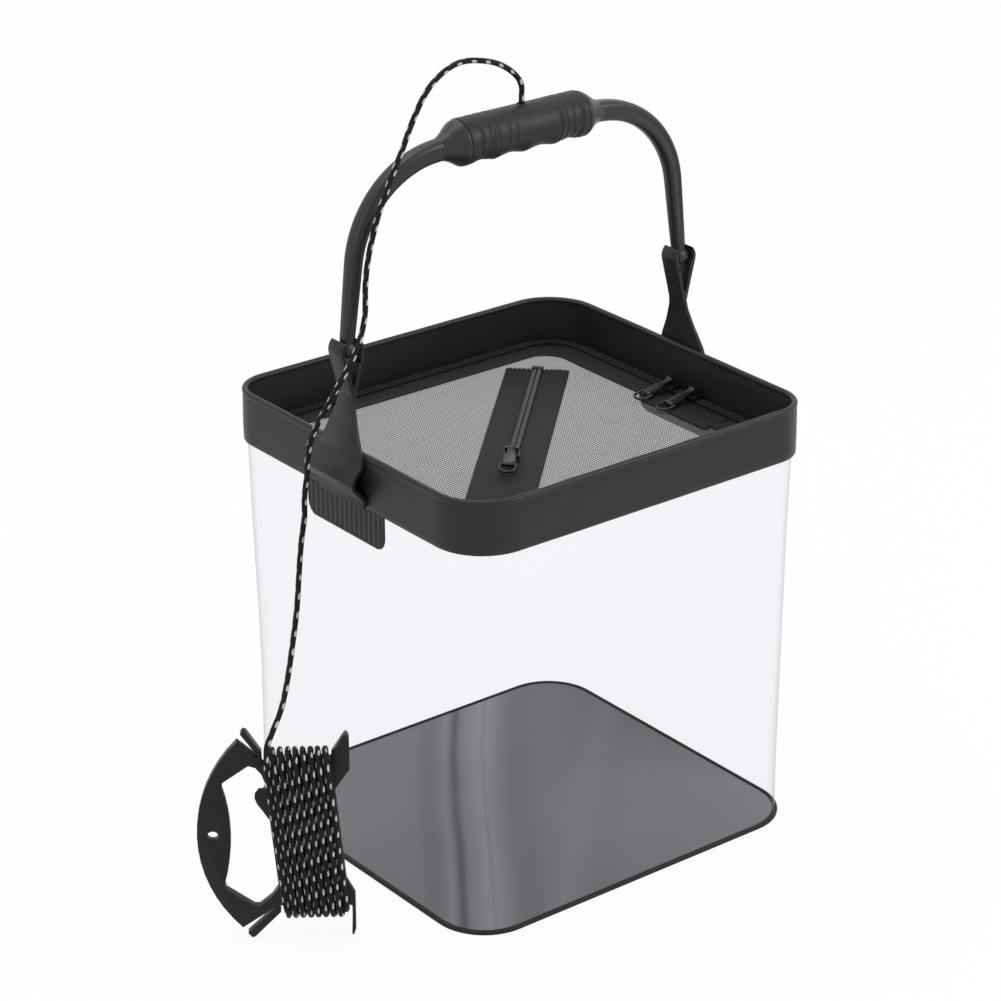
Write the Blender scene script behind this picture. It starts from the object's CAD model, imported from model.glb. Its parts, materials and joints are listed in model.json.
"""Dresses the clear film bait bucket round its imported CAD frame.

Lengths are in metres in the CAD's own frame: X runs between the hangers, Z is up
and the origin is the middle of the underside.
"""

from __future__ import annotations

import json
import logging
import math
from dataclasses import dataclass, field
from enum import Enum
from typing import Callable, Sequence

import bmesh
import bpy
from mathutils import Matrix, Vector, noise

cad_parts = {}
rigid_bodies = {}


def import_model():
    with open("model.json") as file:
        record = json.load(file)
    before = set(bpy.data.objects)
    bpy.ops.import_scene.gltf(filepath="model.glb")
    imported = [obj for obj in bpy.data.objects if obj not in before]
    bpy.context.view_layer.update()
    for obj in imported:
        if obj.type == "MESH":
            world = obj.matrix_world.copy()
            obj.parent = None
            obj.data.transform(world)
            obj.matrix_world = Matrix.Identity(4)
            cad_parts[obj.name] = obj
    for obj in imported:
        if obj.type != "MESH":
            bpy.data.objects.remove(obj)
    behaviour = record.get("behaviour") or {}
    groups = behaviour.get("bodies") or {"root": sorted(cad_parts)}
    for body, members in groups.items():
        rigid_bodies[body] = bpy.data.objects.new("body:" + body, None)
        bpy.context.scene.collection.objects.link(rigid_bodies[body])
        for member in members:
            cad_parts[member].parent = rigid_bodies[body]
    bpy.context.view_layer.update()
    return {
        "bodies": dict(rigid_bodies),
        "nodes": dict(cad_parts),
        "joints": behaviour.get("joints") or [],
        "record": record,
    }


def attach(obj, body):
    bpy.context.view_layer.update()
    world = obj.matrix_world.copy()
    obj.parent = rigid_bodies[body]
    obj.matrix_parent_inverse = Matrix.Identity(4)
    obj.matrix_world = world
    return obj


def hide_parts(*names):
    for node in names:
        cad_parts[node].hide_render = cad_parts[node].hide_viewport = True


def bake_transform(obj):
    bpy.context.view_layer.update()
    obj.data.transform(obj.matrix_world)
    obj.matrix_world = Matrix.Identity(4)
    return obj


LOG = logging.getLogger("bait_bucket")
MM = 0.001
MERGE = 0.000002

Pair = tuple[float, float]
Mesh = bmesh.types.BMesh
Piece = bpy.types.Object
Material = bpy.types.Material


class Side(Enum):
    """The hanger's side, by the sign of X."""

    LEFT = -1
    RIGHT = 1


class Axis(Enum):
    """The frame's three axes."""

    X = (1.0, 0.0, 0.0)
    Y = (0.0, 1.0, 0.0)
    Z = (0.0, 0.0, 1.0)

    @property
    def vector(self) -> Vector:
        """The axis as a vector."""
        return Vector(self.value)


# ---- shader expressions


def operator(operation: str, turned: bool = False) -> Callable[["Value", object], "Value"]:
    """Makes an operator method that adds one Math node.

    Args:
        operation: The Math node's operation.
        turned: Whether the method's own Value comes second.

    Returns:
        The method.
    """

    def method(self: "Value", other: object) -> "Value":
        """The Math node's result for the two values."""
        return self.math(operation, *((other, self) if turned else (self, other)))

    return method


class Value:
    """A socket in a shader expression, which adds Math nodes as it is used."""

    __add__, __radd__ = operator("ADD"), operator("ADD", turned=True)
    __sub__, __rsub__ = operator("SUBTRACT"), operator("SUBTRACT", turned=True)
    __mul__, __rmul__ = operator("MULTIPLY"), operator("MULTIPLY", turned=True)
    __mod__, __pow__ = operator("FLOORED_MODULO"), operator("POWER")
    __lt__, __gt__ = operator("LESS_THAN"), operator("GREATER_THAN")

    def __init__(self, recipe: "Recipe", socket: bpy.types.NodeSocket) -> None:
        """Keeps the socket and the recipe that its nodes go into."""
        self.recipe = recipe
        self.socket = socket

    def math(self, operation: str, *values: object) -> "Value":
        """A Math node's result for one or two values."""
        return self.recipe.out("ShaderNodeMath", {"operation": operation}, dict(enumerate(values)))

    def sine(self) -> "Value":
        """Sine of self."""
        return self.math("SINE", self)

    def size(self) -> "Value":
        """Size of self without its sign."""
        return self.math("ABSOLUTE", self)

    def most(self, other: object) -> "Value":
        """The larger of the two."""
        return self.math("MAXIMUM", self, other)

    def bell(self, centre: float, width: float) -> "Value":
        """A soft bump of height 1 about a value."""
        off = (self - centre) * (1.0 / width)
        return self.math("EXPONENT", off * off * -1.0)


class Recipe:
    """Builds one procedural material, or the world's nodes."""

    def __init__(self, name: str, owner: bpy.types.World | None = None) -> None:
        """Starts with no nodes.

        Args:
            name: Name of the new material.
            owner: A world whose nodes are used, or None to make the material.
        """
        self.material = owner or bpy.data.materials.new(name)
        self.material.use_nodes = True
        self.tree = self.material.node_tree
        self.tree.nodes.clear()

    def node(self, kind: str, settings: dict | None = None, values: dict | None = None) -> bpy.types.Node:
        """Adds a node.

        Args:
            kind: The node's type.
            settings: Its properties, set before its sockets.
            values: Numbers, colours or Values for its input sockets.

        Returns:
            The node.
        """
        made = self.tree.nodes.new(kind)
        for key, setting in (settings or {}).items():
            setattr(made, key, setting)
        for key, value in (values or {}).items():
            source = value.socket if isinstance(value, Value) else value
            if isinstance(source, bpy.types.NodeSocket):
                self.tree.links.new(source, made.inputs[key])
            else:
                made.inputs[key].default_value = source
        return made

    def out(self, kind: str, settings: dict | None = None, values: dict | None = None,
            output: int | str = 0) -> Value:
        """Adds a node and returns one of its outputs as a Value."""
        return Value(self, self.node(kind, settings, values).outputs[output])

    def place(self) -> Value:
        """Object coordinates in millimetres."""
        where = self.out("ShaderNodeTexCoord", output="Object")
        return self.out("ShaderNodeVectorMath", {"operation": "SCALE"}, {0: where, "Scale": 1.0 / MM})

    def parts(self, vector: Value) -> tuple[Value, Value, Value]:
        """The three parts of a vector."""
        split = self.node("ShaderNodeSeparateXYZ", None, {0: vector})
        return tuple(Value(self, split.outputs[i]) for i in range(3))

    def marks(self, name: str) -> tuple[Value, Value]:
        """The two coordinates of a UV map, in millimetres."""
        return self.parts(self.out("ShaderNodeUVMap", {"uv_map": name}))[:2]

    def grain(self, scale: float, detail: float = 3.0) -> Value:
        """Noise whose cells are about 1 / scale millimetres wide."""
        return self.out("ShaderNodeTexNoise", {"noise_dimensions": "3D"},
                        {"Vector": self.place(), "Scale": scale, "Detail": detail})

    def blend(self, factor: Value, first: Value | tuple, second: Value | tuple) -> Value:
        """A colour between two, by a factor."""
        return self.out("ShaderNodeMix", {"data_type": "RGBA"}, {"Factor": factor, 6: first, 7: second}, 2)

    def bump(self, height: Value, distance: float) -> Value:
        """A normal from a height, in metres for a height of 1."""
        return self.out("ShaderNodeBump", None, {"Height": height, "Distance": distance, "Strength": 1.0})

    def finish(self, shader: bpy.types.NodeSocket) -> Material:
        """Sends a shader to the material's output and returns the material."""
        self.node("ShaderNodeOutputMaterial", None, {"Surface": shader})
        return self.material

    def principled(self, **values: object) -> bpy.types.NodeSocket:
        """A Principled shader's output, with spaces in its sockets' names written as _."""
        named = {key.replace("_", " "): value for key, value in values.items()}
        return self.node("ShaderNodeBsdfPrincipled", None, named).outputs[0]


def grey(level: float) -> tuple[float, ...]:
    """A neutral colour."""
    return (level, level, level, 1.0)


def shades(colour: Sequence[float], low: float, high: float, lift: float = 0.0) -> tuple[tuple, tuple]:
    """A darker and a paler kind of a colour."""
    return tuple(c * low for c in colour) + (1.0,), tuple(c * high + lift for c in colour) + (1.0,)


# ---- finishes


@dataclass(frozen=True)
class Satin:
    """Moulded plastic or rubber with a fine grain and a soft mottle."""

    name: str
    colour: tuple[float, float, float]
    rough: float = 0.42
    grain: float = 2.2
    depth: float = 0.00003
    specular: float = 0.4

    def make(self) -> Material:
        """Builds the material.

        Returns:
            The finished material.
        """
        r = Recipe(self.name)
        cloud = r.grain(0.05, 4.0)
        fine = r.grain(self.grain, 2.0)
        wear = r.grain(0.35, 5.0)
        colour = r.blend(cloud * 0.6 + wear * 0.4, *shades(self.colour, 0.82, 1.22, 0.002))
        rough = cloud * 0.14 + wear * 0.08 + (self.rough - 0.11)
        return r.finish(r.principled(
            Base_Color=colour, Roughness=rough, Specular_IOR_Level=self.specular,
            Normal=r.bump(fine + wear * 0.6, self.depth)))


@dataclass(frozen=True)
class Strap:
    """Satin black plastic of the hangers, with a pressed slot and a mould line on each strap."""

    name: str = "hanger_plastic"
    colour: tuple[float, float, float] = (0.0165, 0.0168, 0.0175)

    def mark(self, y: Value, z: Value, start: Pair, end: Pair, wide: float) -> Value:
        """1 on a straight mark between two points of the strap's face, in millimetres.

        Args:
            y: Place across the strap.
            z: Height.
            start: The mark's lower end.
            end: Its upper end.
            wide: Half of its width.

        Returns:
            The mask.
        """
        dy, dz = end[0] - start[0], end[1] - start[1]
        long = math.hypot(dy, dz)
        along = (y - start[0]) * (dy / long) + (z - start[1]) * (dz / long)
        off = (y - start[0]) * (dz / long) - (z - start[1]) * (dy / long)
        return (off.size() < wide) * ((along - long / 2).size() < long / 2)

    def make(self) -> Material:
        """Builds the material.

        Returns:
            The finished material.
        """
        r = Recipe(self.name)
        _, y, z = r.parts(r.place())
        slot = self.mark(y, z, (-13.5, 232.0), (6.5, 232.0), 0.45).most(
            self.mark(y, z, (6.5, 231.8), (7.6, 235.6), 0.45))
        seam = self.mark(y, z, (-1.4, 221.0), (-1.4, 229.5), 0.22).most(
            self.mark(y, z, (-1.4, 238.0), (-0.6, 262.0), 0.22))
        cloud, fine, wear = r.grain(0.05, 4.0), r.grain(2.2, 2.0), r.grain(0.35, 5.0)
        body = r.blend(cloud * 0.6 + wear * 0.4, *shades(self.colour, 0.8, 1.25))
        groove = slot.most(seam * 0.5)
        return r.finish(r.principled(
            Base_Color=r.blend(groove * 0.8, body, grey(0.002)), Roughness=cloud * 0.14 + wear * 0.08 + 0.33,
            Specular_IOR_Level=0.28, Normal=r.bump(fine * 0.1 + wear * 0.06 - groove, 0.0003)))


@dataclass(frozen=True)
class CoatedCloth:
    """Black coated cloth of the rim, with a faint weave under the coating."""

    name: str = "coated_cloth"
    colour: tuple[float, float, float] = (0.0165, 0.0169, 0.018)

    def make(self) -> Material:
        """Builds the material.

        Returns:
            The finished material.
        """
        r = Recipe(self.name)
        run, across = r.marks("cloth")
        weave = (run * 4.2).sine() * (across * 4.2).sine()
        weld = (across - 25.6).size() < 0.35
        cloud, fine = r.grain(0.02, 3.0), r.grain(1.6, 3.0)
        return r.finish(r.principled(
            Base_Color=r.blend(cloud * 0.8 + weave * 0.1, *shades(self.colour, 0.82, 1.25)),
            Roughness=cloud * 0.16 + fine * 0.06 + 0.3,
            Specular_IOR_Level=0.3,
            Normal=r.bump(weave * 0.25 + fine * 0.5 - weld * 1.2, 0.00005)))


@dataclass(frozen=True)
class Woven:
    """Black woven tape or cloth, with ribs along its length."""

    name: str
    colour: tuple[float, float, float]
    thread: float

    def make(self) -> Material:
        """Builds the material.

        Returns:
            The finished material.
        """
        r = Recipe(self.name)
        run, across = r.marks("cloth")
        step = 2.0 * math.pi / self.thread
        rib = (across * step).sine()
        cross = (run * (step * 1.35)).sine()
        twill = (run * (step * 0.7) + across * (step * 0.7)).sine()
        height = rib * 0.5 + cross * 0.25 + twill * 0.25
        fuzz, cloud = r.grain(3.0, 4.0), r.grain(0.05, 3.0)
        mix = height * 0.25 + fuzz * 0.4 + cloud * 0.4
        return r.finish(r.principled(
            Base_Color=r.blend(mix, *shades(self.colour, 0.6, 1.5, 0.003)),
            Roughness=fuzz * 0.15 + 0.55,
            Specular_IOR_Level=0.3,
            Normal=r.bump(height + fuzz * 0.6, 0.00012)))


@dataclass(frozen=True)
class Netting:
    """Fine grey net: small holes in rows, each row shifted by half a hole."""

    name: str = "fine_net"
    pitch: float = 1.6
    open_share: float = 0.82

    def make(self) -> Material:
        """Builds the material.

        Returns:
            The finished material.
        """
        r = Recipe(self.name)
        x, y, _ = r.parts(r.place())
        row = math.pi / self.pitch
        wave = ((x * row).sine() * (y * row).sine()).size()
        hole = wave > 0.58
        cloud, thread = r.grain(0.08, 3.0), r.grain(1.1, 3.0)
        colour = r.blend(cloud * 0.45 + thread * 0.55, grey(0.075), grey(0.175))
        return r.finish(r.principled(
            Base_Color=colour, Roughness=0.7, Specular_IOR_Level=0.2,
            Alpha=1.0 - hole * self.open_share,
            Normal=r.bump(1.0 - wave, 0.00012)))


@dataclass(frozen=True)
class ClearFilm:
    """Clear flexible film with soft gloss that grows at a slant."""

    name: str = "clear_film"

    def make(self) -> Material:
        """Builds the material.

        Returns:
            The finished material.
        """
        r = Recipe(self.name)
        normal = r.bump(r.grain(0.012, 2.0) * 0.8 + r.grain(0.05, 2.0) * 0.2, 0.004)
        clear = r.node("ShaderNodeBsdfTransparent", None, {"Color": (0.957, 0.965, 0.98, 1.0)}).outputs[0]
        gloss = r.principled(Base_Color=(0.22, 0.23, 0.25, 1.0), Roughness=0.12,
                             Specular_IOR_Level=0.5, Normal=normal)
        slant = r.out("ShaderNodeLayerWeight", None, {"Blend": 0.5}, output="Facing")
        share = slant ** 6.0 * 0.75 + 0.012
        return r.finish(r.node("ShaderNodeMixShader", None, {0: share, 1: clear, 2: gloss}).outputs[0])


@dataclass(frozen=True)
class GreySheet:
    """Glossy dark grey sheet of the base, with long soft streaks in its sheen.

    Each streak has its place across the base in millimetres, its half width and its strength.
    """

    name: str = "grey_sheet"
    heading: float = -38.46
    streaks: tuple[tuple[float, float, float], ...] = (
        (-53.0, 6.0, -0.18), (-43.5, 2.5, 0.14), (-37.5, 2.7, -0.5), (-22.0, 8.5, 0.4), (-21.0, 1.3, -0.2),
        (-1.0, 9.0, -0.16))
    slanted: tuple[float, float, float] = (34.7, 8.0, 0.12)
    slope: float = 0.153
    far_end: float = 130.0
    curve: float = 0.00013

    def make(self) -> Material:
        """Builds the material.

        Returns:
            The finished material.
        """
        r = Recipe(self.name)
        x, y, _ = r.parts(r.place())
        c, n = math.cos(math.radians(self.heading)), math.sin(math.radians(self.heading))
        along = x * -n + y * c
        far = along * -1.0 + self.far_end
        waver = (along * 0.03 + 0.6).sine() * 0.8
        place = x * c + y * n + far * far * -self.curve + waver + r.grain(0.012, 2.0) * 4.0 - 2.0
        cloud, fine = r.grain(0.01, 3.0), r.grain(1.2, 3.0)
        tone = (cloud - 0.5) * 0.35 + 0.52
        for centre, width, strength in self.streaks:
            tone = tone + place.bell(centre, width) * strength
        centre, width, strength = self.slanted
        tone = tone + (place - along * self.slope).bell(centre, width) * strength
        shade = (along - 20.0).most(0.0) * (place + 20.0).most(0.0) * 0.00005
        tone = tone - shade + (place - 40.0).most(0.0) * 0.002
        return r.finish(r.principled(
            Base_Color=r.blend(tone, (0.06, 0.0612, 0.065, 1.0), (0.275, 0.281, 0.297, 1.0)),
            Roughness=cloud * 0.12 + fine * 0.04 + 0.24,
            Specular_IOR_Level=0.35, Normal=r.bump(cloud * 0.7 + fine * 0.02, 0.0012)))


@dataclass(frozen=True)
class Braid:
    """Black braided cord with separate white flecks, in a UV of millimetres round it and along it."""

    name: str = "braided_cord"
    round_it: float = 9.32
    fleck_step: float = 9.75

    def make(self) -> Material:
        """Builds the material.

        Returns:
            The finished material.
        """
        r = Recipe(self.name)
        run, along = r.marks("cord")
        lanes = run * (3.0 / self.round_it)
        place = lanes % 1.0
        shifted = along * (1.0 / self.fleck_step) + (lanes - place) * (1.0 / 3.0)
        across = place - 0.5
        ahead = shifted % 1.0 - 0.5 - across * 0.16
        ragged = r.grain(1.5, 2.0)
        bare = r.grain(0.11, 1.0)
        fleck = across * across * 13.0 + ahead * ahead * 26.0 + ragged * 0.9 + bare * 1.3 < 1.95
        step = 16.0 * math.pi / self.round_it
        strand = (run * step + along * 2.6).sine()
        cross = (run * step - along * 2.6).sine()
        height = strand.most(cross)
        fuzz = r.grain(5.0, 2.0)
        black = r.blend(height * 0.3 + fuzz * 0.4, grey(0.003), grey(0.014))
        white = r.blend(fuzz, grey(0.5), grey(0.8))
        return r.finish(r.principled(
            Base_Color=r.blend(fleck, black, white), Roughness=0.62, Specular_IOR_Level=0.2,
            Normal=r.bump(height * 0.8 + fuzz * 0.2, 0.0002)))


@dataclass(frozen=True)
class Enamel:
    """Hard glossy enamel or nylon for zips."""

    name: str
    colour: tuple[float, float, float]
    rough: float

    def make(self) -> Material:
        """Builds the material.

        Returns:
            The finished material.
        """
        r = Recipe(self.name)
        fine = r.grain(2.5, 3.0)
        cloud = r.grain(0.3, 3.0)
        return r.finish(r.principled(
            Base_Color=r.blend(cloud, *shades(self.colour, 0.75, 1.3)),
            Roughness=fine * 0.12 + self.rough - 0.06,
            Specular_IOR_Level=0.5, Normal=r.bump(fine, 0.00002)))


# ---- meshes


def place_object(name: str, bm: Mesh, material: Material, body: str | None,
                 node: str | None, smooth: bool = True) -> Piece:
    """Turns a bmesh into an object that rides on a body and stands for a CAD node.

    Args:
        name: The piece's name.
        bm: Its shape, in metres. It is freed.
        material: Its finish.
        body: The CAD body that it moves with, or None if it is blended later.
        node: The CAD node that it replaces, if it replaces one.
        smooth: Whether its faces are shaded smooth.

    Returns:
        The object.
    """
    mesh = bpy.data.meshes.new(name)
    bm.to_mesh(mesh)
    bm.free()
    mesh.materials.append(material)
    obj = bpy.data.objects.new(name, mesh)
    bpy.context.scene.collection.objects.link(obj)
    for polygon in mesh.polygons:
        polygon.use_smooth = smooth
    if body:
        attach(obj, body)
    if node:
        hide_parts(node)
    LOG.info("%s: %d faces on %s", name, len(mesh.polygons), body)
    return obj


def softened_copy(frame: dict, node: str, material: Material, body: str,
                  width: float, name: str | None = None) -> Piece:
    """Copies a CAD node, merges it and rounds its edges.

    Args:
        frame: The loaded frame.
        node: The CAD node.
        material: The copy's finish.
        body: The body that it rides on.
        width: The rounding's width in metres.
        name: The copy's name, or None for the node's name with _round.

    Returns:
        The copy, which replaces the node.
    """
    bm = bmesh.new()
    bm.from_mesh(frame["nodes"][node].data)
    bmesh.ops.remove_doubles(bm, verts=bm.verts, dist=2 * MERGE)
    bmesh.ops.dissolve_limit(bm, angle_limit=math.radians(1.0), verts=bm.verts, edges=bm.edges)
    obj = place_object(name or node + "_round", bm, material, body, node)
    bevel = obj.modifiers.new("round", "BEVEL")
    bevel.width = width
    bevel.segments = 2
    bevel.limit_method = "ANGLE"
    bevel.angle_limit = math.radians(32.0)
    bevel.harden_normals = True
    bevel.use_clamp_overlap = True
    return obj


def dress(frame: dict, node: str, material: Material) -> Piece:
    """Gives a finish to a CAD node that keeps its shape.

    Args:
        frame: The loaded frame.
        node: The CAD node.
        material: Its finish.

    Returns:
        The node's object.
    """
    obj = frame["nodes"][node]
    obj.data.materials.clear()
    obj.data.materials.append(material)
    return obj


def weld(bm: Mesh) -> Mesh:
    """Merges what lies together and turns the faces outwards.

    Args:
        bm: The mesh.

    Returns:
        The same mesh.
    """
    bmesh.ops.remove_doubles(bm, verts=bm.verts, dist=MERGE)
    bmesh.ops.recalc_face_normals(bm, faces=bm.faces)
    return bm


def cap(bm: Mesh) -> Mesh:
    """Fills the open ends and turns the faces outwards.

    Args:
        bm: The mesh.

    Returns:
        The same mesh, closed.
    """
    bmesh.ops.holes_fill(bm, edges=[edge for edge in bm.edges if edge.is_boundary], sides=0)
    bmesh.ops.recalc_face_normals(bm, faces=bm.faces)
    return bm


def merge_into(target: Mesh, part: Mesh) -> None:
    """Adds a part's mesh to a target.

    Args:
        target: The mesh that grows.
        part: The mesh that is added. It is freed.
    """
    mesh = bpy.data.meshes.new("part")
    part.to_mesh(mesh)
    part.free()
    target.from_mesh(mesh)
    bpy.data.meshes.remove(mesh)


def sweep(path: Sequence[Vector], section: Callable[[int], Sequence[Pair]],
          side: Vector, marks: str = "cord") -> Mesh:
    """Carries a closed section along a path.

    Args:
        path: The middle line's points.
        section: Gives the section's points, sideways and up, at a point of the path.
        side: The direction that the section's first coordinate starts along.
        marks: Name of the UV map: millimetres round the section, and along the path.

    Returns:
        The closed mesh.
    """
    count = len(path)
    rows: list[list[Vector]] = []
    places: list[float] = []
    length = 0.0
    across = side.normalized()
    for i in range(count):
        ahead = (path[min(i + 1, count - 1)] - path[max(i - 1, 0)]).normalized()
        across = (across - ahead * across.dot(ahead)).normalized()
        up = ahead.cross(across)
        if i:
            length += (path[i] - path[i - 1]).length / MM
        places.append(length)
        rows.append([path[i] + across * a + up * b for a, b in section(i)])
    return cap(loft(rows, marks=marks, places=places))


def round_section(radius: float, sides: int) -> list[Pair]:
    """A circle's points."""
    turns = [2 * math.pi * k / sides for k in range(sides)]
    return [(radius * math.cos(a), radius * math.sin(a)) for a in turns]


def smooth_route(points: Sequence[Vector], step: float) -> list[Vector]:
    """Evenly spaced points on a smooth curve through a route.

    Args:
        points: The route's own points.
        step: The distance between the new points, in metres.

    Returns:
        The new points, with the route's first and last among them.
    """
    dense: list[Vector] = []
    last = len(points) - 1
    for i in range(last):
        p0, p1, p2, p3 = points[max(i - 1, 0)], points[i], points[i + 1], points[min(i + 2, last)]
        for k in range(12):
            t = k / 12
            dense.append(0.5 * (2 * p1 + (p2 - p0) * t + (2 * p0 - 5 * p1 + 4 * p2 - p3) * t * t
                                + (3 * p1 - p0 - 3 * p2 + p3) * t ** 3))
    dense.append(points[last])
    even = [dense[0].copy()]
    left = step
    for a, b in zip(dense, dense[1:]):
        span = (b - a).length
        while span >= left:
            a = a + (b - a).normalized() * left
            span -= left
            left = step
            even.append(a.copy())
        left -= span
    if (even[-1] - dense[-1]).length < step * 0.5:
        even.pop()
    even.append(dense[-1].copy())
    return even


def lathe(profile: Sequence[Pair], centre: Vector, axis: Axis, steps: int) -> Mesh:
    """Spins a profile once round an axis.

    Args:
        profile: Points as (distance along the axis, radius), in metres.
        centre: A point on the axis.
        axis: The axis.
        steps: Steps of the full turn.

    Returns:
        The closed mesh.
    """
    bm = bmesh.new()
    along = axis.vector
    out = Axis.X.vector if axis is Axis.Z else Axis.Z.vector
    verts = [bm.verts.new(centre + along * a + out * r) for a, r in profile]
    edges = [bm.edges.new(pair) for pair in zip(verts, verts[1:])]
    bmesh.ops.spin(bm, geom=verts + edges, cent=centre, axis=along, angle=2 * math.pi,
                   steps=steps, use_merge=True, use_duplicate=False)
    return weld(bm)


def clamp(number: float) -> float:
    """The number, held between 0 and 1."""
    return max(0.0, min(1.0, number))


def mm(*numbers: float) -> Vector:
    """A point given in millimetres."""
    return Vector(numbers) * MM


def outline(low: Pair, high: Pair, radii: Sequence[float],
            level: float, bend: int = 14, side: int = 44) -> list[Vector]:
    """Points round a rectangle that has its own radius at each corner.

    Args:
        low: Its corner at -X and -Y, in millimetres.
        high: Its corner at +X and +Y.
        radii: Radii from the corner at +X and +Y on, against the clock.
        level: Height of the points.
        bend: Steps in each corner.
        side: Steps along each side.

    Returns:
        The points in metres, against the clock.
    """
    spots = (high, (low[0], high[1]), low, (high[0], low[1]))

    def on_corner(i: int, turn: float) -> Vector:
        """A point on corner i, at a heading in degrees."""
        (x, y), r, a = spots[i % 4], radii[i % 4], math.radians(turn)
        return mm(x - math.copysign(r, x) + r * math.cos(a), y - math.copysign(r, y) + r * math.sin(a), level)

    points: list[Vector] = []
    for i in range(4):
        points += [on_corner(i, 90 * i + 90 * k / bend) for k in range(bend + 1)]
        start, end = points[-1], on_corner(i + 1, 90 * (i + 1))
        points += [start.lerp(end, j / side) for j in range(1, side)]
    return points


def loft(rows: Sequence[Sequence[Vector]], closed: bool = True, marks: str = "cloth",
         places: Sequence[float] | None = None) -> Mesh:
    """Joins rows of points by extruding the first row's edges.

    Args:
        rows: Rows of the same number of points.
        closed: Whether each row joins up with itself.
        marks: Name of the UV map: millimetres along the rows, and across them.
        places: Where each row lies across, in millimetres, or None to measure it.

    Returns:
        The open mesh.
    """
    bm = bmesh.new()
    run, across = bm.verts.layers.float.new("run"), bm.verts.layers.float.new("across")
    count = len(rows[0])
    ends = count if closed else count - 1
    ring = [bm.verts.new(spot) for spot in rows[0]]
    edges = [bm.edges.new((ring[k], ring[(k + 1) % count])) for k in range(ends)]
    period = 0.0
    for k in range(count):
        ring[k][run] = period
        period += (rows[0][(k + 1) % count] - rows[0][k]).length / MM
    before = list(rows[0])
    for i, row in enumerate(rows[1:], 1):
        made = bmesh.ops.extrude_edge_only(bm, edges=edges)["geom"]
        fresh = {item for item in made if isinstance(item, bmesh.types.BMVert)}
        old = ring
        ring = [next(e.other_vert(v) for e in v.link_edges if e.other_vert(v) in fresh) for v in ring]
        edges = [bm.edges.get((ring[k], ring[(k + 1) % count])) for k in range(ends)]
        for k, vert in enumerate(ring):
            vert.co = row[k]
            vert[run] = old[k][run]
            vert[across] = places[i] if places else old[k][across] + (row[k] - before[k]).length / MM
        before = list(row)
    bmesh.ops.recalc_face_normals(bm, faces=bm.faces)
    uv = bm.loops.layers.uv.new(marks)
    for face in bm.faces:
        runs = [loop.vert[run] for loop in face.loops]
        wraps = max(runs) - min(runs) > period / 2
        for loop, place in zip(face.loops, runs):
            loop[uv].uv = (place + period if wraps and place < period / 2 else place, loop.vert[across])
    return bm


def around(half: Pair, radii: Sequence[float], out: float, level: float) -> list[Vector]:
    """A loop that lies some millimetres outside a rounded rectangle."""
    x, y = half[0] + out, half[1] + out
    return outline((-x, -y), (x, y), [r + out for r in radii], level)


def between(first: Sequence[Vector], last: Sequence[Vector], share: float, lift: float) -> list[Vector]:
    """The row that lies a share of the way between two rows, lifted by some millimetres."""
    return [a.lerp(b, share) + mm(0.0, 0.0, lift) for a, b in zip(first, last)]


def wobble(spot: Vector, size: float, height: float) -> float:
    """A soft noise in metres, with bumps of about a size in millimetres and a height in millimetres."""
    return noise.noise(spot * (1.0 / MM / size)) * height * MM


def thicken(obj: Piece, thick: float) -> None:
    """Gives a sheet a thickness below its surface.

    Args:
        obj: The sheet.
        thick: Its thickness, in metres.
    """
    wall = obj.modifiers.new("thickness", "SOLIDIFY")
    wall.thickness = thick
    wall.offset = -1.0


# ---- sub-assemblies


@dataclass
class Bucket:
    """The film wall, the base and the welt round it."""

    frame: dict
    half: Pair = (115.0, 108.0)
    high: float = 227.5
    low: float = 0.6
    inset: float = 1.3
    base_corner: float = 30.0
    corner: float = 28.7
    tighten: float = 7.0
    rows: int = 48
    piping: tuple[Pair, ...] = (
        (-2.54, 0.02), (0.15, 0.02), (0.42, 0.3), (0.49, 0.8), (0.42, 1.4), (0.1, 1.85), (-0.4, 2.05),
        (-1.1, 2.1), (-1.5, 1.62), (-2.54, 1.5), (-2.54, 0.02))
    film: ClearFilm = field(default_factory=ClearFilm)
    sheet: GreySheet = field(default_factory=GreySheet)
    trim: Satin = field(
        default_factory=lambda: Satin("black_welt", (0.008, 0.008, 0.0085), 0.5, specular=0.25))

    def build_film(self) -> None:
        """Builds the film sleeve, with faint waves and corners that tighten towards the rim."""
        x, y = self.half[0] - self.inset, self.half[1] - self.inset
        rows = []
        for i in range(self.rows + 1):
            t = i / self.rows
            level = self.low + (self.high - self.low) * t
            tight = self.corner - self.tighten * t ** 1.6
            row = outline((-x, -y), (x, y), (self.corner, tight) * 2, level)
            calm = max(0.0, math.sin(math.pi * min(1.0, t * 1.04)))
            for k, spot in enumerate(row):
                pull = 0.9 + 1.2 * noise.noise(Vector((spot.x * 9, spot.y * 9, spot.z * 6)))
                pull += 1.3 * noise.noise(Vector((spot.x * 3 + 4, spot.y * 3, spot.z * 2)))
                out = Vector((spot.x, spot.y, 0.0)).normalized()
                row[k] = spot - out * (max(0.0, pull) * calm * MM)
            rows.append(row)
        obj = place_object("film_wall", loft(rows), self.film.make(), "bucket", "wall_sleeve")

    def build_welt(self) -> None:
        """Builds the piping round the bottom edge, which is thin where the film is welded to it."""
        rows = [around(self.half, (self.base_corner,) * 4, out, level) for out, level in self.piping]
        place_object("bottom_piping", weld(loft(rows)), self.trim.make(), "bucket", "base_welt")

    def build(self) -> None:
        """Builds and dresses the whole sub-assembly."""
        dress(self.frame, "base_panel", self.sheet.make())
        self.build_welt()
        self.build_film()


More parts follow.
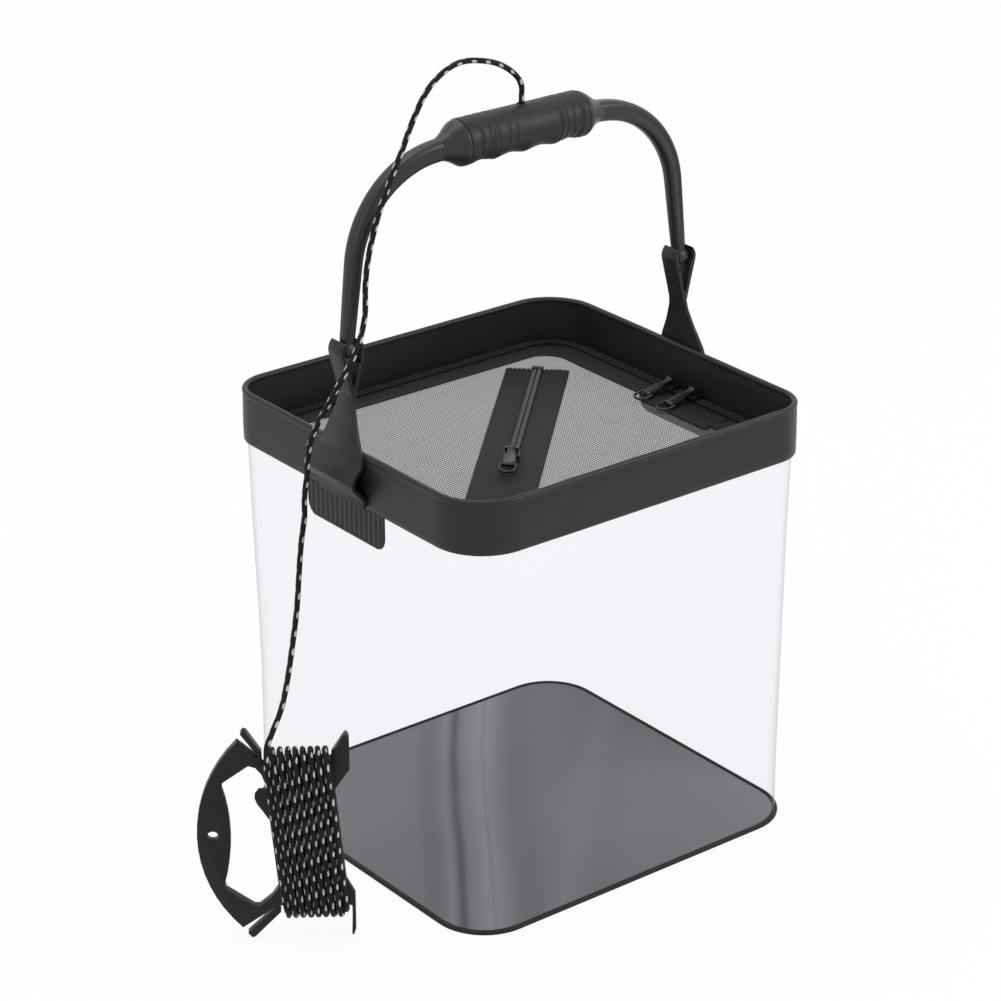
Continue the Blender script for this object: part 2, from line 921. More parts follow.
@dataclass
class Rim:
    """The black cloth folded over the stiffening hoop, with its bead, and the ledge inside it."""

    half: Pair = (115.0, 108.0)
    radii: tuple[float, float, float, float] = (30.0, 21.5, 30.0, 21.5)
    top: float = 250.0
    bead: float = 1.75
    lid_level: float = 224.0
    unfolded: float = 0.0595
    ledge_flat: Pair = (0.83, 0.0105)
    hoop: tuple[Pair, ...] = (
        (-1.05, 228.0), (-1.0, 228.4), (-1.0, 245.6), (-1.05, 246.0), (-2.0, 246.0), (-2.05, 245.6),
        (-2.05, 228.4), (-2.0, 228.0), (-1.05, 228.0))
    cloth: CoatedCloth = field(default_factory=CoatedCloth)
    tape: Woven = field(default_factory=lambda: Woven("ledge_tape", (0.011, 0.011, 0.0115), 1.0))

    def ring(self, out: float, level: float) -> list[Vector]:
        """A loop round the rim, some millimetres outside its outer face."""
        return around(self.half, self.radii, out, level)

    def profile(self) -> list[Pair]:
        """The fold's section.

        Returns:
            Points as (outwards, level), up the outside, over the bead and down the lining.
        """
        line = [(-0.7, 220.3), (-0.3, 219.95), (0.0, 220.3), (0.05, 223.0), (0.1, 226.5), (0.14, 230.0),
                (0.15, 234.0), (0.12, 238.0), (0.08, 242.0), (0.04, 245.0), (-0.1, 246.3)]
        centre = self.top - self.bead
        for k in range(13):
            a = math.radians(-40.0 + 260.0 * k / 12)
            line.append((-1.5 + self.bead * math.cos(a), centre + self.bead * math.sin(a)))
        return line + [(-2.9, 246.3), (-3.0, 245.2), (-3.06, 241.0), (-3.08, 237.0), (-3.05, 233.0),
                       (-3.0, 229.0), (-3.0, 226.0), (-2.95, 224.2)]

    def build_fold(self) -> None:
        """Builds the folded band."""
        rows = []
        for out, level in self.profile():
            row = self.ring(out, level)
            for k, spot in enumerate(row):
                side = Vector((spot.x, spot.y, 0.0)).normalized()
                push = wobble(Vector((spot.x, spot.y, spot.z * 1.6)), 26.0, 0.22)
                lift = wobble(Vector((spot.x, spot.y, 0.0)), 45.0, 0.12)
                row[k] = spot + side * push + Vector((0.0, 0.0, lift))
            rows.append(row)
        obj = place_object("rim_fold", loft(rows), self.cloth.make(), "bucket", "rim_band")

    def build_hoop(self) -> None:
        """Builds the stiffening hoop that the cloth is folded over."""
        strip = weld(loft([self.ring(out, level) for out, level in self.hoop]))
        finish = Satin("hoop_strip", (0.3, 0.3, 0.29), 0.5)
        place_object("stiff_hoop", strip, finish.make(), "bucket", "rim_hoop")

    def build_ledge(self) -> None:
        """Builds the strip between the lining and the edge zip."""
        outer = self.ring(-3.0, self.lid_level)
        inner = outline((-108.1, -99.8), (106.8, 99.8), (21.75, 29.0, 29.0, 21.75), self.lid_level)
        rows = []
        for i in range(9):
            t = i / 8
            row = between(outer, inner, t, 0.25 * math.sin(math.pi * t) - 0.05)
            rows.append([p + Vector((0.0, 0.0, wobble(p, 11.0, 0.16))) for p in row])
        obj = place_object("ledge_strip", loft(rows), self.tape.make(), "bucket", "lid_ledge")
        thicken(obj, 0.0005)

    def build(self) -> None:
        """Builds the hoop, the band and the ledge."""
        self.build_hoop()
        self.build_fold()
        self.build_ledge()


@dataclass
class Lid:
    """The zipped lid: net, border, tapes and coils."""

    frame: dict
    top: float = 224.0
    window: Pair = (90.0, 85.0)
    edge: Pair = (106.4, 99.62)
    hem_flat: Pair = (0.8, 0.0165)
    roll_half: float = 72.8
    zip_place: Pair = (106.7, 99.7)
    corner: float = 21.7
    tape_half: float = 18.0
    tape_length: float = 196.0
    teeth: int = 7
    pinking: float = 2.2
    pitch: float = 1.6
    tooth: Pair = (0.0024, 0.0019)
    slider_edge: float = 103.3
    patch_over: float = 5.0
    patch_cut: float = 4.0
    patch_high: float = 2.5
    patch_length: float = 57.0
    chain: Pair = (-37.1, 93.1)
    net: Netting = field(default_factory=Netting)
    cloth: Woven = field(default_factory=lambda: Woven("lid_border_cloth", (0.0115, 0.0118, 0.0123), 0.9))
    tape: Woven = field(default_factory=lambda: Woven("zip_tape", (0.0065, 0.0065, 0.007), 1.1))
    nylon: Enamel = field(default_factory=lambda: Enamel("black_coil", (0.02, 0.02, 0.021), 0.42))
    bronze: Enamel = field(default_factory=lambda: Enamel("brown_coil", (0.06, 0.057, 0.052), 0.36))

    @staticmethod
    def word(side: int) -> str:
        """The name of a half of the lid: left lies behind the centre zip."""
        return "left" if side > 0 else "right"

    def build_net(self, side: int, material: Material) -> None:
        """Builds one half of the net, which sags a little between the tape and the border.

        Args:
            side: 1 for the half behind the centre zip, -1 for the half in front of it.
            material: Its finish.
        """
        x, y = (self.window[0] + 3.0) * MM, (self.window[1] + 3.0) * MM
        bm = bmesh.new()
        bmesh.ops.create_grid(bm, x_segments=70, y_segments=66, size=1.0)
        bmesh.ops.scale(bm, verts=bm.verts, vec=(x, y, 1.0))
        away = Vector((-1.0, 1.0, 0.0)).normalized() * side
        bmesh.ops.bisect_plane(bm, geom=bm.verts[:] + bm.edges[:] + bm.faces[:], dist=0.0,
                               plane_co=(0.0, 0.0, 0.0), plane_no=away, clear_inner=True)
        for vert in bm.verts:
            near = min(x - abs(vert.co.x), y - abs(vert.co.y), vert.co.dot(away) - self.tape_half * MM)
            calm = clamp(near / 0.025)
            sag = 0.9 + 0.9 * noise.noise(vert.co * 20.0) + 0.5 * noise.noise(vert.co * 55.0)
            vert.co.z = (self.top - 0.95 - max(0.0, sag) * calm) * MM
        area = sum(face.calc_area() for face in bm.faces)
        word = self.word(side)
        obj = place_object(f"net_half_{word}", bm, material, "lid", f"lid_net_{word}")

    def build_border(self, material: Material) -> None:
        """Builds the border, doubled along the net and puckered towards the back corner.

        Args:
            material: Its finish.
        """
        x, y = self.edge
        outer = outline((-x, -y), (x + 0.22, y), (21.5, 26.4, 26.4, 21.5), self.top)
        x, y = self.window
        inner = outline((-x, -y), (x, y), (14.0,) * 4, self.top)
        steps = (0.0, 0.06, 0.14, 0.22, 0.3, 0.38, 0.46, 0.54, 0.6,
                 0.62, 0.64, 0.72, 0.8, 0.88, 0.95, 0.985, 1.0)
        rows = []
        for t in steps:
            hem = 0.0 if t < 0.61 else 0.28 if t < 0.99 else -0.1
            row = between(outer, inner, t, hem)
            for k, p in enumerate(row):
                pucker = 0.35 + 0.9 * clamp((p.y - 0.06) / 0.04)
                wave = wobble(Vector((p.x, p.y, 0.0)), 13.0, 0.28)
                wave += wobble(Vector((p.x, p.y * 0.4, 0.0)), 5.0, 0.12)
                calm = min(1.0, (1.0 - t) * 8.0, t * 6.0 + 0.2)
                row[k] = p + Vector((0.0, 0.0, wave * pucker * calm))
            rows.append(row)
        obj = place_object("lid_hem", loft(rows), material, "lid", "lid_border")
        thicken(obj, 0.0006)

    def build_roll(self, material: Material) -> None:
        """Builds the rolled fold that the lid turns on.

        Args:
            material: Its finish.
        """
        half = self.roll_half * MM
        start = mm(-self.zip_place[0], -self.roll_half, self.top - 0.4)
        path = [start + Vector((0.0, 2 * half * i / 60, 0.0)) for i in range(61)]
        path = [p + Vector((wobble(p, 14.0, 0.1), 0.0, wobble(p * 1.1, 17.0, 0.1))) for p in path]
        shapes = [round_section((1.06 + 0.08 * noise.noise(p * 160.0)) * MM, 16) for p in path]
        obj = place_object("fold_roll", sweep(path, lambda i: shapes[i], Axis.X.vector), material,
                           "lid", "lid_fold")

    def build_tape(self, side: int, material: Material) -> None:
        """Builds one half of the centre zip's tape, with a corded edge and pinked ends.

        Args:
            side: 1 for the half behind the zip, -1 for the half in front of it.
            material: Its finish.
        """
        turn = Matrix.Rotation(math.radians(45.0), 4, "Z")
        steps = 2 * self.teeth
        rows = []
        for i in range(steps + 1):
            for share in ((0.0, 0.5) if i < steps else (0.0,)):
                off = max(0.02, (i + share) * self.tape_half / steps)
                bite = (i % 2 + (share if i % 2 == 0 else -share)) * self.pinking
                long = self.tape_length / 2 - bite
                flat = off < 2.9
                lift = 0.0 if flat else 0.1 if off < 15.0 else 0.16 if off < 17.0 else -0.1
                row = []
                for k in range(81):
                    s = -long + 2 * long * k / 80
                    spot = mm(s, side * off, self.top - 0.02 + lift)
                    spot.z += 0.0 if flat else wobble(spot, 17.0, 0.22) + wobble(spot, 6.0, 0.08)
                    row.append(turn @ spot)
                rows.append(row)
        word = self.word(side)
        obj = place_object(f"tape_{word}", loft(rows, closed=False), material, "lid",
                           f"centre_tape_{word}")
        thicken(obj, 0.0005)

    def build_patch(self, material: Material) -> None:
        """Builds the wide cloth patch under the pulls of the two edge sliders.

        Args:
            material: Its finish.
        """
        low, cut = self.window[0] - self.patch_over, self.patch_cut
        rows = []
        for i in range(13):
            x = self.slider_edge + (low - self.slider_edge) * i / 12
            high = self.patch_high - max(0.0, low + cut - x)
            end = self.patch_high - self.patch_length
            lift = 0.5 if 0 < i < 11 else 0.42 if i < 12 else 0.12
            row = [mm(x, high + (end - high) * k / 30, self.top + lift) for k in range(31)]
            rows.append([p + Vector((0.0, 0.0, wobble(p, 12.0, 0.12) - (0.00025 if k in (0, 30) else 0.0)))
                         for k, p in enumerate(row)])
        obj = place_object("pull_patch", loft(rows, closed=False), material, "lid",
                           "slider_garage")
        thicken(obj, 0.0004)

    def chain_row(self, name: str, spots: Sequence[tuple[Vector, float]], side: int, body: str,
                  material: Material, node: str) -> None:
        """Builds one row of coil along a chain.

        Args:
            name: The row's name.
            spots: Places and headings along the chain.
            side: Which row, 1 or -1.
            body: The body that it rides on.
            material: Its finish.
            node: The CAD node that it replaces.
        """
        width, deep = self.tooth
        tooth = bmesh.new()
        bmesh.ops.create_cube(tooth, size=1.0)
        bmesh.ops.scale(tooth, verts=tooth.verts, vec=(self.pitch * 0.66 * MM, width, deep))
        bmesh.ops.translate(tooth, verts=tooth.verts, vec=(0.0, side * (0.0002 + width / 2), 0.00105))
        bmesh.ops.bevel(tooth, geom=tooth.edges[:], offset=0.0004, offset_type="OFFSET",
                        affect="EDGES", segments=1, profile=0.5, material=-1)
        shape = bpy.data.meshes.new("tooth")
        tooth.to_mesh(shape)
        tooth.free()
        bm = bmesh.new()
        for spot, angle in spots:
            before = len(bm.verts)
            bm.from_mesh(shape)
            bm.verts.ensure_lookup_table()
            bmesh.ops.transform(bm, verts=bm.verts[before:],
                                matrix=Matrix.Translation(spot) @ Matrix.Rotation(angle, 4, "Z"))
        bpy.data.meshes.remove(shape)
        place_object(name, bm, material, body, node, smooth=False)

    def edge_spots(self, offset: float) -> list[tuple[Vector, float]]:
        """Places along the edge zip, from the front end of the fold round to its back end.

        Args:
            offset: Part of a pitch that the row starts after.

        Returns:
            Places and headings.
        """
        zx, zy = self.zip_place
        hx, hy = zx - self.corner, zy - self.corner
        route: list[tuple[Vector, float]] = []
        legs = (((-hx, -zy), (hx, -zy), 0.0), ((zx, -hy), (zx, hy), 90.0), ((hx, zy), (-hx, zy), 180.0))
        centres = ((hx, -hy), (hx, hy))
        for i, (start, end, heading) in enumerate(legs):
            a, b = mm(*start, self.top), mm(*end, self.top)
            count = int((b - a).length / (self.pitch * MM))
            for k in range(count):
                route.append((a.lerp(b, (k + offset) / count), math.radians(heading)))
            if i < 2:
                count = int(self.corner * math.pi / 2 / self.pitch)
                cx, cy = centres[i]
                for k in range(count):
                    turn = math.radians(heading + 90.0 * (k + offset) / count)
                    x, y = cx + self.corner * math.sin(turn), cy - self.corner * math.cos(turn)
                    route.append((mm(x, y, self.top), turn))
        return route

    def centre_spots(self, offset: float) -> list[tuple[Vector, float]]:
        """Places along the centre zip, from its low end to its high end.

        Args:
            offset: Part of a pitch that the row starts after.

        Returns:
            Places and headings.
        """
        heading = math.radians(45.0)
        low, high = self.chain
        count = int((high - low) / self.pitch)
        places = [low + (high - low) * (k + offset) / count for k in range(count)]
        return [(mm(s * math.cos(heading), s * math.sin(heading), self.top), heading) for s in places]

    def build(self) -> None:
        """Builds and dresses the whole sub-assembly."""
        net, cloth, tape = self.net.make(), self.cloth.make(), self.tape.make()
        self.build_border(cloth)
        for side in (1, -1):
            self.build_net(side, net)
            self.build_tape(side, tape)
        self.build_roll(cloth)
        self.build_patch(tape)
        nylon, bronze = self.nylon.make(), self.bronze.make()
        self.chain_row("edge_row_outer", self.edge_spots(0.0), -1, "bucket", nylon, "edge_coil_outer")
        self.chain_row("edge_row_inner", self.edge_spots(0.5), 1, "lid", nylon, "edge_coil_inner")
        self.chain_row("centre_row_left", self.centre_spots(0.0), 1, "lid", bronze, "centre_coil")
        self.chain_row("centre_row_right", self.centre_spots(0.5), -1, "lid", bronze, "centre_coil")
        softened_copy(self.frame, "centre_stops", nylon, "lid", 0.0004)


@dataclass
class Sliders:
    """The three zip sliders and their pulls."""

    frame: dict
    enamel: Enamel = field(default_factory=lambda: Enamel("black_enamel", (0.008, 0.008, 0.0085), 0.28))

    def build(self) -> None:
        """Rounds the edges of every slider, pull and ring."""
        material = self.enamel.make()
        for place in ("centre", "back", "front"):
            for part, width in (("slider", 0.00035), ("pull", 0.0003)):
                name = f"{place}_{part}"
                softened_copy(self.frame, name, material, name, width)
            for polygon in dress(self.frame, f"{place}_pull_ring", material).data.polygons:
                polygon.use_smooth = True


@dataclass
class Hangers:
    """The two strap hangers and their ribbed patches."""

    frame: dict
    face: float = 114.1
    top: float = 220.0
    half: float = 34.0
    drop: float = 20.0
    bend: float = 8.0
    ribs: int = 16
    plastic: Strap = field(default_factory=Strap)

    def build_patch(self, side: Side, material: Material) -> None:
        """Builds a welded patch with soft upright ribs inside a flat rim.

        Args:
            side: The hanger's side.
            material: Its finish.
        """
        rows = []
        columns = self.ribs * 8
        for i in range(41):
            down = self.drop * i / 40
            low = max(0.0, down - (self.drop - self.bend))
            reach = self.half - self.bend + math.sqrt(max(0.0, self.bend ** 2 - low ** 2))
            row = []
            for k in range(columns + 1):
                y = -self.half + 2 * self.half * k / columns
                y = max(-reach, min(reach, y))
                inside = min(reach - abs(y), self.drop - down, self.bend)
                flat = clamp((inside - 1.1) / 0.9)
                edge = min(1.0, inside / 0.5)
                rib = 0.5 + 0.5 * math.cos(2 * math.pi * self.ribs * (y + self.half) / (2 * self.half))
                out = 0.25 + 0.75 * edge - 0.42 * flat * (1 - rib ** 0.7)
                row.append(mm(side.value * (self.face + out), y, self.top - down))
            rows.append(row)
        name = side.name.lower()
        obj = place_object(f"ribbed_patch_{name}", weld(loft(rows, closed=False)), material, "bucket",
                           f"weld_patch_{name}")
        thicken(obj, 0.0004)

    def build(self) -> None:
        """Rounds the hangers and builds the patches."""
        material = self.plastic.make()
        for side in Side:
            node = f"hanger_{side.name.lower()}"
            softened_copy(self.frame, node, material, "bucket", 0.0005)
            self.build_patch(side, material)


@dataclass
class Handle:
    """The bail with its grooved arms, and the grip."""

    frame: dict
    pivot: Vector = field(default_factory=lambda: mm(112.0, 0.0, 302.0))
    grip_rise: float = 0.0955
    grip_length: float = 0.078
    grip_radius: float = 0.0125
    foot: float = 0.0068
    arm: float = 0.0116
    bend: float = 0.056
    lean: float = 6.8
    slope: float = 5.0
    squareness: float = 0.72
    foot_hole: float = 0.00212
    foot_radius: float = 0.0047
    foot_round: float = 0.0006
    flare: tuple[Pair, ...] = (
        (0.0, 0.93), (0.0002, 0.965), (0.0012, 0.955), (0.0024, 0.885), (0.0038, 0.76), (0.0054, 0.6),
        (0.007, 0.44), (0.0087, 0.29), (0.0104, 0.17), (0.0122, 0.07), (0.014, -0.02), (0.016, -0.12))
    grooves: tuple[float, ...] = (-0.0325, -0.027, -0.0215, 0.019, 0.023, 0.0285, 0.033)
    groove_deep: float = 0.0003
    lip_high: float = 0.0001
    end_round: float = 0.0005
    wave_deep: float = 0.0015
    rib_high: float = 0.0006
    ribs: tuple[float, ...] = (-0.0315, -0.0238, -0.0142, -0.0091, 0.0205, 0.0282, 0.0353)
    plastic: Satin = field(default_factory=lambda: Satin("handle_plastic", (0.0165, 0.0168, 0.018), 0.34))
    rubber: Satin = field(
        default_factory=lambda: Satin("grip_rubber", (0.0155, 0.0158, 0.0165), 0.46, specular=0.3))

    def arm_line(self) -> list[Vector]:
        """Middle line of the right arm, from its foot to the grip.

        Returns:
            Points in the plane of the handle.
        """
        a0, a1 = math.radians(90 + self.lean), math.radians(180 - self.slope)
        end = Vector((self.grip_length / 2 - 0.002, self.grip_rise))
        turn = self.bend * Vector((math.sin(a1) - math.sin(a0), math.cos(a0) - math.cos(a1)))
        foot = Vector((self.pivot.x, 0.0))
        lean = Vector((-math.tan(math.radians(self.lean)), 1.0))
        slope = Vector((-1.0, math.tan(math.radians(self.slope))))
        gap = end - foot - turn
        det = lean.x * slope.y - lean.y * slope.x
        up = (gap.x * slope.y - gap.y * slope.x) / det
        start = foot + lean * up
        flat = [foot + lean * (up * i / 14) for i in range(14)]
        for i in range(25):
            a = a0 + (a1 - a0) * i / 24
            flat.append(start + self.bend * Vector((math.sin(a) - math.sin(a0), math.cos(a0) - math.cos(a))))
        corner = start + turn
        flat += [corner + (end - corner) * (i / 8) for i in range(1, 9)]
        return [Vector((q.x, 0.0, self.pivot.z + q.y)) for q in flat]

    def arm_section(self, groove: float, radius: float) -> list[Pair]:
        """Section of an arm.

        Args:
            groove: Depth of the side grooves, from 0 to 1.
            radius: Half of the arm's thickness.

        Returns:
            Points as (across, outwards).
        """
        points = []
        for side, out in round_section(1.0, 40):
            x = math.copysign(abs(side) ** self.squareness, side) * 0.97
            y = math.copysign(abs(out) ** self.squareness, out) * 1.04
            dent = math.exp(-((y + 0.12) / 0.34) ** 4) * 0.2 * groove
            points.append((radius * (x - math.copysign(dent, side)), radius * y))
        return points

    def build_shoulder(self, path: Sequence[Vector]) -> Mesh:
        """Builds the flare that carries the grip's end over to the arm.

        Args:
            path: The arm's middle line.

        Returns:
            The closed mesh.
        """
        step, start, upright = 0.0001, 0.0021, 0.006
        line = smooth_route(path[::-1], step)
        side, straight = Axis.Y.vector, Axis.X.vector
        rows = []
        for along, share in self.flare:
            i = round((start + along) / step)
            ahead = (line[i + 1] - line[i - 1]).normalized()
            ahead = ahead.lerp(straight, max(0.0, 1.0 - along / upright))
            up = ahead.cross(side).normalized()
            radius = self.arm / 2 + (self.grip_radius - self.arm / 2) * share
            rows.append([line[i] + side * a + up * b for a, b in round_section(radius, 40)])
        return cap(loft(rows))

    def build_arm(self) -> Mesh:
        """Builds the right arm with its foot and its shoulder.

        Returns:
            The arm's mesh.
        """
        path = self.arm_line()
        last = len(path) - 1

        def section(i: int) -> list[Pair]:
            """The arm's section.

            Args:
                i: The point of the path.

            Returns:
                Points as (across, outwards).
            """
            radius = (self.foot + (self.arm - self.foot) * (i / last) ** 0.8) / 2
            groove = clamp(min((i - 3) / 6, (last - 7 - i) / 8))
            return self.arm_section(groove, radius)

        arm = sweep(path, section, Axis.Y.vector)
        merge_into(arm, self.build_shoulder(path))
        half, inner, outer, soft = self.foot / 2, self.foot_hole, self.foot_radius, self.foot_round
        ring = [(-half, inner), (-half, outer - soft), (-half + soft, outer), (half - soft, outer),
                (half, outer - soft), (half, inner), (-half, inner)]
        merge_into(arm, lathe(ring, self.pivot, Axis.X, 48))
        return arm

    def build_bail(self) -> None:
        """Builds both arms."""
        bm = self.build_arm()
        other = self.build_arm()
        bmesh.ops.scale(other, verts=other.verts, vec=(-1.0, 1.0, 1.0))
        bmesh.ops.reverse_faces(other, faces=other.faces)
        merge_into(bm, other)
        place_object("bail", bm, self.plastic.make(), "handle", "handle_bail")

    def grip_profile(self) -> list[Pair]:
        """The grip's section with its pressed rings, as (distance along, radius).

        Returns:
            The points, from end to end.
        """
        half, radius, steps = self.grip_length / 2, self.grip_radius, 220
        profile = [(-half, 0.0), (-half, radius - self.end_round)]
        for i in range(steps + 1):
            x = -half + 0.0002 + (2 * half - 0.0004) * i / steps
            edge = min(1.0, (half - abs(x)) / 0.0007)
            dip = sum(math.exp(-((x - ring) / 0.00042) ** 2) for ring in self.grooves) * self.groove_deep
            lip = sum(math.exp(-((x - ring - 0.0014) / 0.0006) ** 2) for ring in self.grooves) * self.lip_high
            profile.append((x, radius - self.end_round * (1 - edge) ** 2 - dip + lip))
        return profile + [(half, radius - self.end_round), (half, 0.0)]

    def build_grip(self) -> None:
        """Builds the grip, with finger waves below and short ribs on its sides."""
        half = self.grip_length / 2
        centre = Vector((0.0, 0.0, self.pivot.z + self.grip_rise))
        bm = lathe(self.grip_profile(), centre, Axis.X, 96)
        for vert in bm.verts:
            offset = vert.co - centre
            out = math.hypot(offset.y, offset.z)
            if out < 0.001:
                continue
            down = max(0.0, -offset.z / out)
            edge = clamp((half - abs(offset.x)) / 0.008)
            finger = (0.5 - 0.5 * math.cos(4 * math.pi * (offset.x + half) / half)) ** 0.7
            rib = sum(self.rib_high * math.exp(-((offset.x - ring) / 0.00075) ** 2) for ring in self.ribs)
            rib *= math.exp(-((offset.z - 0.0022) / 0.0044) ** 6)
            scale = 1 + (rib - self.wave_deep * edge * finger * down ** 1.4) / out
            vert.co = centre + Vector((offset.x, offset.y * scale, offset.z * scale))
        place_object("grip", bm, self.rubber.make(), "handle", "handle_grip")

    def build_eyelet(self) -> None:
        """Builds the rim of the hole that the cord leaves through."""
        top = self.pivot.z + self.grip_rise + self.grip_radius
        profile = [(-0.0006, 0.0019), (0.0001, 0.0019), (0.0004, 0.0022), (0.0004, 0.0026), (0.0, 0.003),
                   (-0.0006, 0.0031), (-0.0006, 0.0019)]
        bm = lathe(profile, Vector((0.002, 0.0, top)), Axis.Z, 40)
        place_object("cord_eyelet", bm, self.rubber.make(), "handle", None)

    def build(self, cord: Material) -> None:
        """Builds the whole handle.

        Args:
            cord: The cord's finish, for its knot inside the grip.
        """
        self.build_bail()
        self.build_grip()
        self.build_eyelet()
        dress(self.frame, "rope_knot", cord)


@dataclass
class HandLine:
    """The cord: its free length, its turns on the winder, and the winder."""

    frame: dict
    radius: float = 0.0015
    winder: Pair = (-188.0, -33.0)
    turn: float = -36.0
    middle: float = 61.0
    run_half: float = 37.8
    layer_in: float = 6.6
    layer_out: float = 10.2
    turns: int = 8
    pitch: float = 3.9
    across: float = 1.0
    slant: float = 0.09
    lead: float = 8.0
    waist: float = 0.28
    stray: float = 0.5
    braid: Braid = field(default_factory=Braid)
    plastic: Satin = field(
        default_factory=lambda: Satin("winder_plastic", (0.007, 0.007, 0.0075), 0.4, specular=0.25))

    def at(self, u: float, w: float, v: float) -> Vector:
        """A point in the winder's own directions, from its middle.

        Args:
            u: Millimetres along it.
            w: Millimetres through it.
            v: Millimetres upwards.

        Returns:
            The point in metres.
        """
        a = math.radians(self.turn)
        x, y = self.winder
        return mm(x + u * math.cos(a) - w * math.sin(a), y + u * math.sin(a) + w * math.cos(a),
                  self.middle + v)

    def lead_in(self) -> Vector:
        """Where the free cord meets the winding."""
        return self.at(self.across - self.slant * self.run_half, -self.layer_out, self.run_half + self.lead)

    def route(self) -> list[Vector]:
        """The free cord's way.

        Returns:
            Points from the grip to the winder.
        """
        points = (
            (2, 0, 402.2), (2, 0, 406), (2, 0, 410), (2, 0, 415), (1.5, -0.5, 420), (-2, -1.5, 425.5),
            (-9, -2.5, 431.5), (-18, -3.5, 436.5), (-29, -4.5, 440), (-38, -5, 441.5), (-46, -5.5, 441),
            (-55, -6.5, 438), (-62.5, -7, 433), (-68, -7.5, 427), (-72.5, -8, 420.5), (-77, -8.5, 413),
            (-81, -9, 405.5), (-85, -9, 398), (-89, -9, 390.5), (-92.5, -9, 383), (-96.5, -9, 374.5),
            (-100, -9, 365), (-103, -9, 355), (-105, -9, 345), (-106, -9, 335), (-106.5, -9.5, 326),
            (-108.5, -10.5, 318), (-112.5, -12, 310), (-117.5, -13, 302), (-122.5, -12.5, 294.5),
            (-126.5, -9.5, 285), (-129, -4, 274), (-131, 1, 264), (-133, 4, 255), (-134, 5.5, 245),
            (-135, 5.5, 235), (-137, 5, 225), (-139.5, 2, 215), (-143.5, -1, 206), (-147, -4, 197),
            (-151, -8, 187), (-157, -14, 172.5), (-165, -21, 158), (-174, -29, 145), (-183, -36, 134),
            (-191, -39.5, 125), (-195.5, -40, 117))
        top = self.lead_in()
        return [mm(*p) for p in points] + [top + mm(0, 0, 3), top]

    def winding(self) -> list[Vector]:
        """The winding's middle line: out over the outer layer and back under it.

        Returns:
            Points from the free cord's end to the cord's end on the winder.
        """
        points: list[Vector] = []
        each = 56
        total = int((2 * self.turns - 0.25) * each)
        half = self.turns * each
        climb = each // 2
        for k in range(total + 1):
            t = (k % each) / each
            if k <= half:
                radius, place = self.layer_out, k / each
            elif k < half + climb:
                share = (k - half) / climb
                radius = self.layer_out + (self.layer_in - self.layer_out) * share
                place = self.turns + 0.15 * math.sin(math.pi * share)
            else:
                radius, place = self.layer_in, self.turns - (k - half - climb) / each
            if t < 0.25:
                w, v = -radius, self.run_half - 2 * self.run_half * t / 0.25
            elif t < 0.5:
                a = math.pi * (1 + (t - 0.25) / 0.25)
                w, v = radius * math.cos(a), -self.run_half + radius * math.sin(a)
            elif t < 0.75:
                w, v = radius, -self.run_half + 2 * self.run_half * (t - 0.5) / 0.25
            else:
                a = math.pi * (t - 0.75) / 0.25
                w, v = radius * math.cos(a), self.run_half + radius * math.sin(a)
            if radius > self.layer_in + 2.0 and abs(v) < self.run_half:
                w -= math.copysign(self.waist * math.cos(math.pi * v / (2 * self.run_half)) ** 2, w)
            u = self.across + self.pitch * place - self.slant * v
            u += self.stray * noise.noise(Vector((k * 0.11, v * 0.04, w * 0.2)))
            points.append(self.at(u, w, v))
        return [self.lead_in()] + points

    def build(self) -> Material:
        """Builds the cord, its winding and the winder.

        Returns:
            The cord's finish.
        """
        cord = self.braid.make()
        ring = round_section(self.radius, 12)
        path = smooth_route(self.route(), 0.0016)
        bm = sweep(path, lambda i: ring, Axis.Y.vector)
        free = place_object("free_cord", bm, cord, None, "rope_free")
        turns = smooth_route(self.winding(), 0.0028)
        bm = sweep(turns, lambda i: ring, Axis.X.vector)
        wound = place_object("wound_cord", bm, cord, "bucket", "rope_winding")
        winder = softened_copy(self.frame, "winder", self.plastic.make(), "bucket",
                               0.0006, "winder_plate")
        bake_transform(free)
        return cord


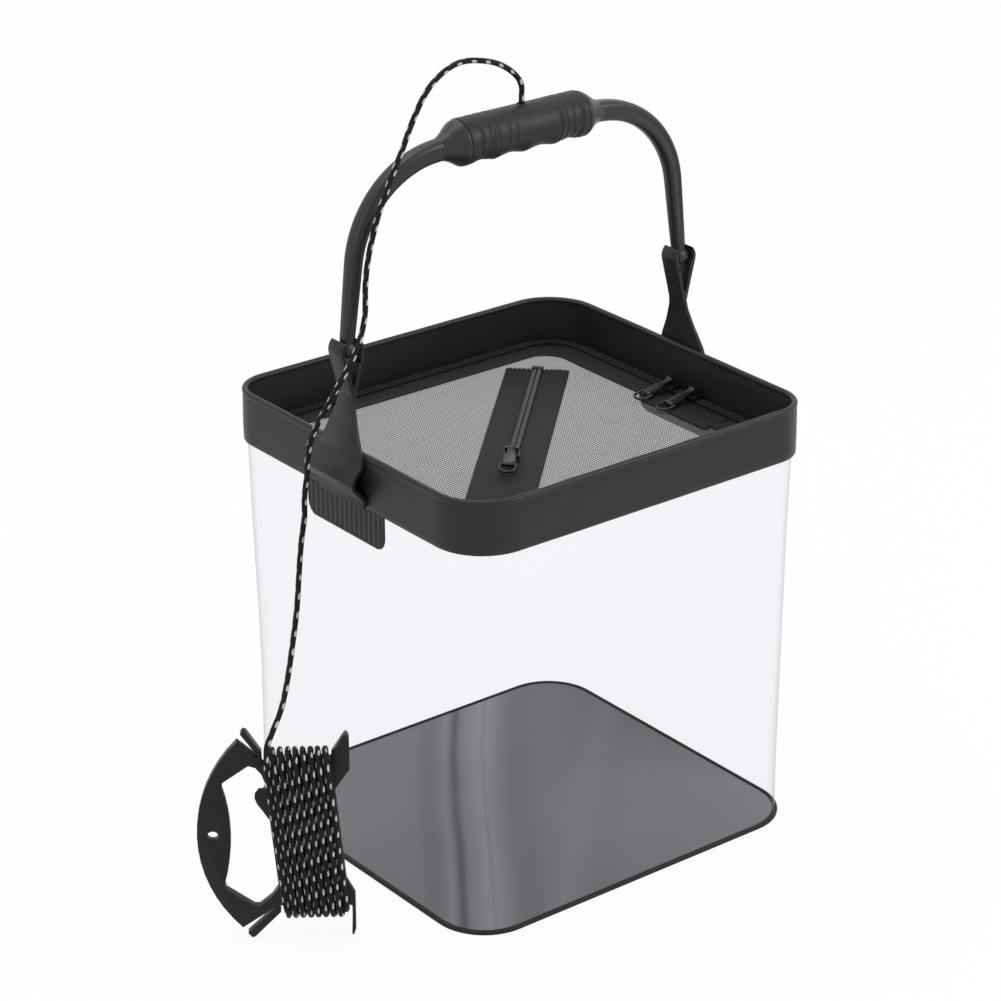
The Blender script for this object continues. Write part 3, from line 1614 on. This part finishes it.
@dataclass
class Studio:
    """The camera, the lamps, the world and the floor."""

    place: Vector = field(default_factory=lambda: Vector((-1.0382, -1.3070, 0.9369)))
    right: Vector = field(default_factory=lambda: Vector((0.78304, -0.62197, 0.0)))
    up: Vector = field(default_factory=lambda: Vector((0.25119, 0.31624, 0.91482)))
    lens: float = 121.3
    shift: Pair = (-0.0179, -0.0236)

    def camera(self) -> None:
        """Puts the camera at the photograph's place."""
        data = bpy.data.cameras.new("camera")
        data.lens = self.lens
        data.sensor_width = 36.0
        data.sensor_fit = "HORIZONTAL"
        data.shift_x, data.shift_y = self.shift
        data.clip_start, data.clip_end = 0.05, 50.0
        camera = bpy.data.objects.new("camera", data)
        back = self.right.cross(self.up).normalized()
        turn = Matrix((self.right.normalized(), self.up.normalized(), back)).transposed()
        camera.matrix_world = Matrix.Translation(self.place) @ turn.to_4x4()
        bpy.context.scene.collection.objects.link(camera)
        bpy.context.scene.camera = camera

    def seen(self, r: Recipe) -> Value:
        """What the camera, a mirror or a clear sheet looks at.

        Args:
            r: The recipe that asks.

        Returns:
            1 for such a ray, else 0.
        """
        path = r.node("ShaderNodeLightPath")
        camera, glossy, clear = (Value(r, path.outputs[f"Is {kind} Ray"])
                                 for kind in ("Camera", "Glossy", "Transmission"))
        return camera.most(glossy).most(clear)

    def world(self) -> None:
        """Makes the world white to look at and softer as a light."""
        world = bpy.data.worlds.new("studio")
        bpy.context.scene.world = world
        r = Recipe("studio", world)
        strength = self.seen(r) * 0.45 + 0.55
        back = r.node("ShaderNodeBackground", None, {"Color": grey(1.0), "Strength": strength})
        r.node("ShaderNodeOutputWorld", None, {"Surface": back.outputs[0]})

    def floor(self) -> None:
        """Makes a pale floor that keeps a faint shadow."""
        r = Recipe("studio_floor")
        plain = r.node("ShaderNodeBsdfDiffuse", None, {"Color": grey(0.8)}).outputs[0]
        glow = r.node("ShaderNodeEmission", None, {"Color": grey(1.0), "Strength": 1.03}).outputs[0]
        material = r.finish(r.node("ShaderNodeMixShader", None,
                                   {0: self.seen(r) * 0.88, 1: plain, 2: glow}).outputs[0])
        bm = bmesh.new()
        bmesh.ops.create_grid(bm, x_segments=1, y_segments=1, size=6.0)
        mesh = bpy.data.meshes.new("floor")
        bm.to_mesh(mesh)
        bm.free()
        mesh.materials.append(material)
        floor = bpy.data.objects.new("floor", mesh)
        bpy.context.scene.collection.objects.link(floor)

    def lamp(self, name: str, place: tuple[float, float, float], size: float, power: float) -> None:
        """Adds a square soft lamp that looks at the bucket.

        Args:
            name: Its name.
            place: Where it hangs, in metres.
            size: Its side, in metres.
            power: Its power in watts.
        """
        data = bpy.data.lights.new(name, "AREA")
        data.energy = power
        data.size = size
        lamp = bpy.data.objects.new(name, data)
        spot = Vector(place)
        aim = Vector((0.0, 0.0, 0.2)) - spot
        lamp.matrix_world = Matrix.Translation(spot) @ aim.to_track_quat("-Z", "Y").to_matrix().to_4x4()
        bpy.context.scene.collection.objects.link(lamp)

    def build(self) -> None:
        """Sets up the whole studio."""
        bpy.context.scene.view_settings.view_transform = "Standard"
        self.camera()
        self.world()
        self.floor()
        self.lamp("key", (1.6, -1.9, 1.7), 1.2, 26.0)
        self.lamp("fill", (-2.2, -0.9, 1.2), 1.4, 5.0)
        self.lamp("top", (-0.2, 0.6, 2.4), 1.6, 16.0)


def main() -> None:
    """Builds the bucket round its frame."""
    logging.basicConfig(level=logging.INFO, format="%(message)s")
    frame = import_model()
    Studio().build()
    cord = HandLine(frame).build()
    Bucket(frame).build()
    Rim().build()
    Lid(frame).build()
    Sliders(frame).build()
    Hangers(frame).build()
    Handle(frame).build(cord)


if __name__ == "__main__":
    main()
